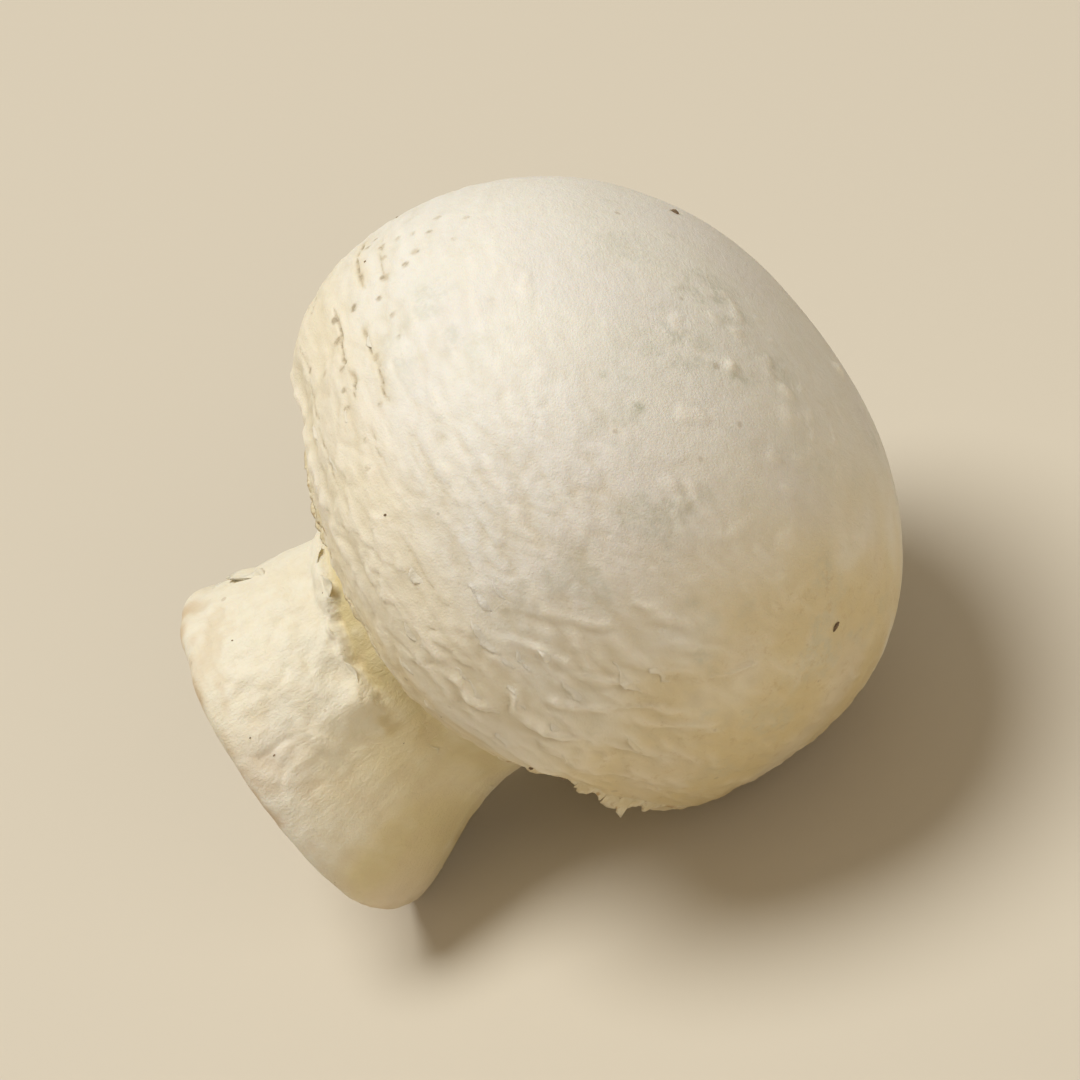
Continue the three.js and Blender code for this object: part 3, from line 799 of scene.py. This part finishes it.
def flap(soup, host, s0, t0, t1, length, lift, seed, way=1, thick=0.10, rag=0.5, out=0.0, cols=None, skew=0.0,
         hook=0.0, s1=None, knots=1.0, sink=0.10, taper=0.45):
    """A flap rooted along profile place s0 from angle t0 to t1 (degrees), length mm long towards
    the margin (way=1) or the cap (way=-1), lifting by lift mm at its free edge. out turns it away
    from the surface (0 along it, 1 straight off it); s1 is the root's place at angle t1."""
    s1 = s0 if s1 is None else s1
    mid = host.at((s0 + s1) / 2, (t0 + t1) / 2 * RAD)[0]
    rr = math.hypot(mid[0], mid[1])
    width = rr * (t1 - t0) * RAD
    nu = cols or int(np.clip(width / 0.16, 5, 60))
    nv = 7 if length > 0.8 else 5
    u = np.linspace(0, 1, nu + 1)
    v = np.linspace(0, 1, nv + 1)
    th = (t0 + (t1 - t0) * u) * RAD
    P, D, N, tone = host.at(s0 + (s1 - s0) * u + 0.10 * perlin(np.stack([u * width * 0.8, 0 * u + seed, 0 * u], -1), 7), th)
    D = D * way
    D, N = (D * math.cos(out * math.pi / 2) + N * math.sin(out * math.pi / 2),
            N * math.cos(out * math.pi / 2) - D * math.sin(out * math.pi / 2))
    side = np.gradient(P, axis=0)
    side /= np.linalg.norm(side, axis=1, keepdims=True) + 1e-9
    ends = np.sin(np.pi * np.clip(u, 0, 1)) ** taper
    p = np.stack([u * width, 0 * u + seed * 3.7, 0 * u], -1)
    edge = 1 + rag * (0.9 * perlin(p * 0.9, 11) + knots * (0.6 * perlin(p * 2.3, 13) + 0.35 * perlin(p * 4.5, 17)))
    ln = length * np.clip(edge, 0.18, 1.7) * (0.10 + 0.90 * ends)
    wob = lift * (1 + 0.5 * perlin(p * 1.3, 19))
    V = v[:, None, None]
    rise = wob[None, :, None] * V ** 1.6 * ends[None, :, None]
    # the root and the sides stay under the skin; only the free edge comes out
    lie = 0.02 - 0.5 * thick - sink * (1 - V) ** 1.5 - 0.06 * (1 - ends[None, :, None])
    curl = hook * np.sin(V * math.pi * 0.9)
    base = (P[None] + D[None] * (ln[None, :, None] * (V - 0.12)) + N[None] * (rise + curl + lie)
            + side[None] * (skew * length * V))
    th_v = (thick * (1 - 0.72 * V) * (0.25 + 0.75 * ends[None, :, None])) * 0.5
    rough = 0.018 * perlin(base.reshape(-1, 3) / 0.35, 23).reshape(base.shape[:2])[..., None]
    up_ = base + N[None] * (th_v + rough)
    dn_ = base - N[None] * (th_v - rough)
    a, b = nv + 1, nu + 1
    verts = np.concatenate([up_.reshape(-1, 3), dn_.reshape(-1, 3)])
    F = []
    o = a * b
    for i in range(nv):
        for j in range(nu):
            q = (i * b + j, i * b + j + 1, (i + 1) * b + j + 1, (i + 1) * b + j)
            F.append(q)
            F.append(tuple(o + k for k in q[::-1]))
    ring = ([(0, j) for j in range(nu)] + [(i, nu) for i in range(nv)]
            + [(nv, j) for j in range(nu, 0, -1)] + [(i, 0) for i in range(nv, 0, -1)])
    for k in range(len(ring)):
        i0, j0 = ring[k]
        i1, j1 = ring[(k + 1) % len(ring)]
        p0, p1 = i0 * b + j0, i1 * b + j1
        F.append((p1, p0, o + p0, o + p1))
    # face the top outwards
    m = nu // 2
    c = np.cross(up_[nv // 2, m + 1] - up_[nv // 2, m], up_[nv // 2 + 1, m] - up_[nv // 2, m])
    if (c * N[m]).sum() < 0:
        F = [q[::-1] for q in F]
    tipv = np.broadcast_to(v[:, None], (a, b)).reshape(-1)
    tn = np.broadcast_to(tone[None], (a, b, 3)).reshape(-1, 3)
    soup.add(verts, F, np.concatenate([tipv, tipv]), np.concatenate([tn, tn]))


def shred_object(name, soup):
    V = np.concatenate(soup.v)
    tip = np.concatenate(soup.tip)
    ob = make_object(name, flatten(to_row(V)) * MM, soup.f, {
        "own": V, "tip": tip, "flow": V * 0.8,
        "tone": np.concatenate(soup.tone),
        # painted highlight: the free edges of the flakes are coloured lighter through the crest channel
        "marks_and_painted_light": np.stack([0 * tip, 0 * tip, 0.5 * tip], -1)})
    return ob


rnd = np.random.RandomState(7)

# small lifted scales of the cap's skin
flakes = Soup()
MAPPED = [(11.5, 160), (11.5, 166), (10.2, 163), (10.9, 171), (10.7, 179), (9.8, 173), (8.6, 176), (7.9, 179),
          (9.7, 164), (10.5, 157), (11.9, 150), (11.2, 186), (11.9, 176), (10.0, 151), (11.0, 142)]
for i, (s0, t0) in enumerate(MAPPED):
    w = 2.2 + 2.6 * rnd.rand()
    flap(flakes, cap_host, s0, t0 - w, t0 + w, 0.45 + 0.30 * rnd.rand(), 0.05 + 0.05 * rnd.rand(), i + 1,
         thick=0.07, rag=0.75, skew=0.5 * (rnd.rand() - 0.5), hook=0.02)
for i in range(26):
    s0 = 9.6 + 4.0 * rnd.rand()
    t0 = 360 * rnd.rand()
    w = 1.4 + 2.2 * rnd.rand()
    flap(flakes, cap_host, s0, t0 - w, t0 + w, 0.30 + 0.25 * rnd.rand(), 0.03 + 0.04 * rnd.rand(), i + 40,
         thick=0.06, rag=0.8, skew=0.6 * (rnd.rand() - 0.5), hook=0.02)
flakes_ob = shred_object("cap_flakes", flakes)

# torn veil: the fringe on the margin, and the edge of the collar on the stem
shreds = Soup()
for i, (s0, s1, t0, t1, ln, out) in enumerate([
        (12.5, 12.1, 194, 206, 0.70, 0.16), (12.1, 11.7, 203, 216, 1.10, 0.30), (11.8, 11.3, 208, 221, 1.00, 0.22),
        (12.0, 11.5, 206, 214, 1.35, 0.42), (11.4, 10.8, 216, 226, 0.50, 0.12), (13.3, 12.6, 180, 197, 0.50, 0.12),
        (12.3, 12.0, 199, 204, 1.00, 0.34)]):
    flap(shreds, cap_host, s0, t0, t1, ln, 0.08, 101 + i, thick=0.17, rag=0.75, out=out, s1=s1, knots=0.7)
for i, (s0, t0, w, ln) in enumerate([(13.9, 232, 13, 0.7), (13.6, 262, 14, 0.6), (14.1, 300, 16, 0.8), (13.8, 338, 15, 0.7),
                                     (14.0, 12, 14, 0.6), (13.7, 44, 13, 0.7), (13.8, 72, 13, 0.6), (13.6, 102, 20, 0.7),
                                     (13.9, 116, 9, 0.6), (14.4, 140, 12, 0.4)]):
    flap(shreds, cap_host, s0, t0 - w, t0 + w, ln, 0.14 + 0.1 * rnd.rand(), 110 + i, thick=0.13, rag=0.8)
torn = Soup()
for i, (t0, t1, ln) in enumerate([(96, 104, 0.50), (118, 128, 0.40), (131, 143, 0.45), (82, 93, 0.60)]):
    s0 = float(collar_edge(np.array([(t0 + t1) / 2 * RAD]))[0]) + 0.30
    flap(torn, stem_host, s0, t0, t1, ln, 0.0, 131 + i, way=-1, thick=0.16, rag=0.6, knots=0.7)
flap(torn, stem_host, float(collar_edge(np.array([106 * RAD]))[0]) + 0.22, 101.5, 111, 0.95, 0.26, 136, way=-1, thick=0.26,
     rag=0.3, knots=0.4)
flap(torn, stem_host, 22.3, 63, 85, 3.2, 0.36, 137, thick=0.34, rag=0.50, hook=0.02, skew=-0.50, knots=0.7, cols=34, sink=0.30,
     taper=0.95)
flap(torn, stem_host, 22.9, 52, 64, 1.3, 0.10, 138, thick=0.20, rag=0.8, skew=-0.30, knots=1.0, cols=18, sink=0.22, taper=0.9)
for i in range(7):
    t0 = 170 + 230 * rnd.rand()
    flap(torn, stem_host, 19.6 + 1.6 * rnd.rand(), t0 - 4 - 5 * rnd.rand(), t0 + 4, 0.35 + 0.4 * rnd.rand(),
         0.05 + 0.06 * rnd.rand(), 150 + i, way=-1, thick=0.10, rag=0.8)
for i, (s0, t0, w) in enumerate([(24.3, 61, 6), (23.6, 240, 5), (25.6, 300, 5)]):
    flap(torn, stem_host, s0, t0 - w, t0 + w, 0.5, 0.08, 170 + i, way=1, thick=0.08, rag=0.7)
shreds_ob = shred_object("veil_shreds", shreds)
torn_ob = shred_object("stem_flakes", torn)

# ---------------------------------------------------------------------------
# Crumbs of growing soil
# ---------------------------------------------------------------------------
def crumb(soup, P, D, N, size, seed):
    """A lumpy flattened grain half sunk in the skin."""
    r = np.random.RandomState(seed)
    B = np.cross(N, D)
    nu_, nv_ = 9, 5
    pts, faces = [np.array([0, 0, 1.0])], []
    for i in range(1, nv_):
        a = math.pi * i / nv_
        for j in range(nu_):
            b = 2 * math.pi * j / nu_
            pts.append(np.array([math.sin(a) * math.cos(b), math.sin(a) * math.sin(b), math.cos(a)]))
    pts.append(np.array([0, 0, -1.0]))
    pts = np.array(pts)
    k = 1 + 0.45 * perlin(pts * 1.3 + r.rand(3) * 50, 3) + 0.2 * perlin(pts * 3 + r.rand(3) * 50, 5)
    pts = pts * k[:, None] * size * np.array([1 + 0.6 * r.rand(), 0.8 + 0.3 * r.rand(), 0.55 + 0.2 * r.rand()])
    for j in range(nu_):
        j2 = (j + 1) % nu_
        faces.append((0, 1 + j, 1 + j2))
        for i in range(nv_ - 2):
            o = 1 + i * nu_
            faces.append((o + j, o + nu_ + j, o + nu_ + j2, o + j2))
        o = 1 + (nv_ - 2) * nu_
        faces.append((o + j, len(pts) - 1, o + j2))
    M = np.stack([D, B, N])
    V = P + pts @ M + N * size * 0.12
    if np.linalg.det(M) < 0:
        faces = [f[::-1] for f in faces]
    soup.add(V, faces, np.zeros(len(V)))


crumbs = Soup()
SPECKS = [(5.4, 204, 0.19), (3.5, 52, 0.20), (8.8, 58, 0.07),
          (12.6, 196, 0.22), (12.9, 203, 0.16),
          (12.8, 189, 0.13), (4.0, 320, 0.16), (7.2, 290, 0.2), (8.8, 252, 0.14), (6.1, 20, 0.15), (10.3, 340, 0.18)]
for i, (s0, t0, size) in enumerate(SPECKS):
    crumb(crumbs, *cap_host.at(s0, t0 * RAD)[:3], size, 300 + i)
for i in range(16):
    s0 = 8.0 + 6.0 * rnd.rand() ** 0.7
    crumb(crumbs, *cap_host.at(s0, 360 * rnd.rand() * RAD)[:3], 0.04 + 0.06 * rnd.rand() ** 2, 340 + i)
for i in range(14):
    s0 = 19.5 + 7.6 * rnd.rand()
    crumb(crumbs, *stem_host.at(s0, 360 * rnd.rand() * RAD)[:3], 0.028 + 0.05 * rnd.rand() ** 3, 400 + i)
crumbs_ob = shred_object("soil_crumbs", crumbs)


# ---------------------------------------------------------------------------
# Materials
# ---------------------------------------------------------------------------
class Nodes:
    """Small helper: every method returns an output socket and takes sockets or numbers."""

    def __init__(self, name):
        self.mat = bpy.data.materials.new(name)
        self.mat.use_nodes = True
        self.t = self.mat.node_tree
        self.t.nodes.clear()

    def put(self, sock, v):
        if isinstance(v, bpy.types.NodeSocket):
            self.t.links.new(v, sock)
        elif v is not None:
            if hasattr(sock.default_value, "__len__"):
                n = len(sock.default_value)
                v = tuple(v) if hasattr(v, "__len__") else (v,) * n
                sock.default_value = (tuple(v) + (1.0,))[:n]
            else:
                sock.default_value = v

    def node(self, kind, **props):
        n = self.t.nodes.new(kind)
        for k, v in props.items():
            setattr(n, k, v)
        return n

    def attr(self, name, vector=False):
        n = self.node("ShaderNodeAttribute", attribute_name=name)
        return n.outputs["Vector" if vector else "Fac"]

    def math(self, op, a, b=None, c=None, clamp=False):
        n = self.node("ShaderNodeMath", operation=op, use_clamp=clamp)
        self.put(n.inputs[0], a)
        self.put(n.inputs[1], b)
        self.put(n.inputs[2], c)
        return n.outputs[0]

    def add(self, a, b):
        return self.math("ADD", a, b)

    def mul(self, a, b):
        return self.math("MULTIPLY", a, b)

    def split(self, v):
        n = self.node("ShaderNodeSeparateXYZ")
        self.put(n.inputs[0], v)
        return n.outputs

    def noise(self, v, scale, detail=2.0, rough=0.5):
        n = self.node("ShaderNodeTexNoise")
        self.put(n.inputs["Vector"], v)
        self.put(n.inputs["Scale"], scale)
        self.put(n.inputs["Detail"], detail)
        self.put(n.inputs["Roughness"], rough)
        return n.outputs[0]

    def step(self, v, a, b, lo=0.0, hi=1.0):
        n = self.node("ShaderNodeMapRange", interpolation_type="SMOOTHSTEP")
        for i, x in enumerate((v, a, b, lo, hi)):
            self.put(n.inputs[i], x)
        return n.outputs[0]

    def mix(self, f, a, b, mode="MIX"):
        n = self.node("ShaderNodeMix", data_type="RGBA", blend_type=mode)
        self.put(n.inputs[0], f)
        self.put(n.inputs[6], a)
        self.put(n.inputs[7], b)
        return n.outputs[2]

    def bump(self, height, distance, strength=1.0):
        n = self.node("ShaderNodeBump")
        self.put(n.inputs["Height"], height)
        self.put(n.inputs["Distance"], distance)
        self.put(n.inputs["Strength"], strength)
        return n.outputs[0]

    def dots(self, v, scale, radius, share):
        """Round specks: one per cell of 1/scale mm, kept in a share of the cells, radius in cell units."""
        n = self.node("ShaderNodeTexVoronoi", feature="F1")
        self.put(n.inputs["Vector"], v)
        self.put(n.inputs["Scale"], scale)
        rnd = self.split(n.outputs["Color"])[0]
        size = self.math("MULTIPLY", self.math("LESS_THAN", rnd, share), radius)
        size = self.math("MULTIPLY", size, self.add(0.35, self.math("FRACT", self.mul(rnd, 91.7))))
        return self.step(n.outputs["Distance"], size, self.math("MULTIPLY", size, 0.5))


def finish_skin(g, color, rough, normal, sss=0.14, spec=0.36, scale=0.0004):
    bs = g.node("ShaderNodeBsdfPrincipled")
    out = g.node("ShaderNodeOutputMaterial")
    g.t.links.new(bs.outputs[0], out.inputs[0])
    g.put(bs.inputs["Base Color"], color)
    g.put(bs.inputs["Roughness"], rough)
    g.put(bs.inputs["Normal"], normal)
    bs.inputs["Subsurface Weight"].default_value = sss
    bs.inputs["Subsurface Radius"].default_value = (1.0, 0.72, 0.42)
    bs.inputs["Subsurface Scale"].default_value = scale
    bs.inputs["Specular IOR Level"].default_value = spec
    return g.mat


def cap_material():
    g = Nodes("cap_skin")
    own = g.attr("own", True)
    flow = g.attr("flow", True)
    warm, pink, grey = g.split(g.attr("tone", True))[:3]
    crack, painted_hollow_shade, pale_crest_and_painted_highlight = g.split(g.attr("marks_and_painted_light", True))[:3]
    mottle = g.noise(own, 0.55, 3, 0.6)
    fine = g.noise(flow, 2.6, 3, 0.65)
    c = g.mix(g.step(mottle, 0.32, 0.70), (0.850, 0.835, 0.788), (0.825, 0.802, 0.742))
    # the warm and amber colours carry the margin's own cream and yellowing and painted warm bounce and shade on the
    # lower side of the cap
    c = g.mix(g.math("MULTIPLY", warm, 0.80, clamp=True), c, (0.80, 0.70, 0.49))
    c = g.mix(g.step(warm, 0.9, 2.1, 0.0, 0.90), c, (0.68, 0.545, 0.285))
    # pink also carries the painted cool shade at the middle of the cap
    c = g.mix(g.mul(pink, 0.48), c, (0.765, 0.728, 0.742))
    c = g.mix(g.mul(grey, g.step(g.noise(own, 1.9, 3, 0.7), 0.36, 0.60, 0.22, 0.78)), c, (0.55, 0.555, 0.47))
    # painted shade in the hollows and painted highlight on the crests, the crests partly the skin's own paleness
    c = g.mix(g.mul(painted_hollow_shade, 0.42), c, (0.64, 0.55, 0.38))
    c = g.mix(g.mul(pale_crest_and_painted_highlight, 0.55), c, (0.93, 0.87, 0.765))
    c = g.mix(g.mul(g.step(fine, 0.50, 0.78), 0.20), c, (0.70, 0.61, 0.45))
    blotch = g.mul(g.step(g.noise(own, 1.5, 4, 0.78), 0.54, 0.68), g.step(warm, 0.95, 1.5))
    c = g.mix(g.mul(blotch, 0.40), c, (0.58, 0.44, 0.24))
    dash = g.step(g.noise(own, 1.7, 2, 0.6), 0.40, 0.58)
    c = g.mix(g.mul(g.step(crack, 0.10, 0.75), 0.50), c, (0.49, 0.39, 0.245))
    c = g.mix(g.mul(g.step(g.mul(crack, dash), 0.14, 0.70), 0.60), c, (0.34, 0.275, 0.18))
    dot = g.dots(own, 0.42, 0.10, 0.42)
    c = g.mix(g.mul(dot, 0.36), c, (0.38, 0.30, 0.20))
    h = g.add(g.add(g.mul(fine, 0.9), g.mul(g.noise(own, 7.5, 3, 0.62), 0.75)), g.mul(g.mul(crack, dash), -1.2))
    n = g.bump(h, 0.00007, 0.75)
    return finish_skin(g, c, g.step(mottle, 0.2, 0.8, 0.50, 0.68), n)


def stem_material():
    g = Nodes("stem_skin")
    own = g.attr("own", True)
    flow = g.attr("flow", True)
    warm, pink, brown = g.split(g.attr("tone", True))[:3]
    cut, painted_hollow_shade, pale_crest_and_painted_highlight = g.split(g.attr("marks_and_painted_light", True))[:3]
    mottle = g.noise(own, 0.6, 3, 0.6)
    fine = g.noise(flow, 3.0, 4, 0.66)
    c = g.mix(g.step(mottle, 0.35, 0.68), (0.87, 0.845, 0.765), (0.82, 0.765, 0.65))
    # the warm and amber colours carry the veil's own cream, a real olive stain and painted shade in the groove, on the
    # shaded side and at the foot of the stem
    c = g.mix(g.math("MULTIPLY", warm, 0.80, clamp=True), c, (0.79, 0.69, 0.44))
    c = g.mix(g.step(warm, 1.0, 2.0, 0.0, 0.90), c, (0.655, 0.55, 0.295))
    c = g.mix(g.mul(pink, 0.50), c, (0.80, 0.69, 0.62))
    # painted shade in the hollows and painted highlight on the crests of the folds
    c = g.mix(g.mul(painted_hollow_shade, 0.30), c, (0.66, 0.53, 0.36))
    c = g.mix(g.mul(pale_crest_and_painted_highlight, 0.20), c, (0.90, 0.87, 0.77))
    c = g.mix(g.mul(g.step(fine, 0.50, 0.75), 0.18), c, (0.68, 0.56, 0.38))
    face = g.mix(g.step(g.noise(own, 1.6, 4, 0.65), 0.35, 0.65), (0.82, 0.755, 0.61), (0.72, 0.61, 0.43))
    c = g.mix(cut, c, face)
    c = g.mix(g.mul(brown, 0.60), c, (0.56, 0.38, 0.20))
    dot = g.dots(own, 0.55, 0.10, 0.40)
    c = g.mix(g.mul(dot, 0.38), c, (0.42, 0.32, 0.20))
    grain = g.noise(own, 6.0, 4, 0.68)
    h = g.add(g.mul(fine, 1.0), g.mul(grain, g.add(0.8, g.mul(cut, 1.2))))
    n = g.bump(h, 0.00010, 0.8)
    return finish_skin(g, c, g.step(mottle, 0.2, 0.8, 0.54, 0.72), n)


def shred_material():
    g = Nodes("torn_veil")
    own = g.attr("own", True)
    tip = g.attr("tip")
    a = g.noise(own, 1.4, 3, 0.6)
    c = g.mix(g.step(a, 0.35, 0.66), (0.79, 0.70, 0.51), (0.71, 0.595, 0.38))
    c = g.mix(g.mul(g.step(tip, 0.3, 1.0), g.step(g.noise(own, 2.2, 2, 0.6), 0.50, 0.68)), c, (0.50, 0.34, 0.17))
    n = g.bump(g.noise(own, 6.0, 3, 0.65), 0.00008, 0.8)
    return finish_skin(g, c, 0.6, n)


def soil_material():
    g = Nodes("growing_soil")
    own = g.attr("own", True)
    a = g.noise(own, 5.0, 3, 0.6)
    c = g.mix(g.step(a, 0.35, 0.66), (0.15, 0.10, 0.06), (0.34, 0.24, 0.15))
    n = g.bump(g.noise(own, 14.0, 3, 0.65), 0.00006, 0.9)
    bs = g.node("ShaderNodeBsdfPrincipled")
    out = g.node("ShaderNodeOutputMaterial")
    g.t.links.new(bs.outputs[0], out.inputs[0])
    g.put(bs.inputs["Base Color"], c)
    g.put(bs.inputs["Roughness"], 0.85)
    g.put(bs.inputs["Normal"], n)
    return g.mat


skin, stem_skin = cap_material(), stem_material()
for ob, mat in ((cap, skin), (stem, stem_skin), (flakes_ob, skin), (torn_ob, stem_skin),
                (shreds_ob, shred_material()), (crumbs_ob, soil_material())):
    ob.data.materials.append(mat)
    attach(ob, "root")
    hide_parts("mushroom")

# ---------------------------------------------------------------------------
# Floor and light
# ---------------------------------------------------------------------------
fl = bpy.data.meshes.new("floor")
h = 3.0
fl.from_pydata([(-h, -h, -0.00003), (h, -h, -0.00003), (h, h, -0.00003), (-h, h, -0.00003)], [], [(0, 1, 2, 3)])
floor = bpy.data.objects.new("floor", fl)
bpy.context.scene.collection.objects.link(floor)
fm = bpy.data.materials.new("floor_paper")
fm.use_nodes = True
fb = fm.node_tree.nodes["Principled BSDF"]
fb.inputs["Base Color"].default_value = (0.64, 0.585, 0.495, 1)
fb.inputs["Roughness"].default_value = 0.9
fl.materials.append(fm)


def area(name, direction, distance, size, power, color):
    d = np.array(direction, float)
    d /= np.linalg.norm(d)
    li = bpy.data.lights.new(name, "AREA")
    li.shape = "DISK"
    li.size = size
    li.energy = power
    li.color = color
    ob = bpy.data.objects.new(name, li)
    bpy.context.scene.collection.objects.link(ob)
    ob.location = Vector(d * distance)
    ob.rotation_euler = Vector(d).to_track_quat("Z", "Y").to_euler()
    return ob


def seen(r, u, b):
    return r * right + u * up + b * back


area("key", seen(-0.61, 0.67, 0.42), 0.75, 0.42, 4.6, (1.0, 0.998, 0.95))
area("front", seen(0.36, 0.10, 0.93), 0.9, 0.7, 1.48, (1.0, 0.945, 0.84))
world = bpy.data.worlds.new("studio")
bpy.context.scene.world = world
world.use_nodes = True
world.node_tree.nodes["Background"].inputs[0].default_value = (1.0, 0.82, 0.57, 1)
world.node_tree.nodes["Background"].inputs[1].default_value = 0.27
bpy.context.scene.view_settings.view_transform = "Standard"
bpy.context.scene.view_settings.look = "None"
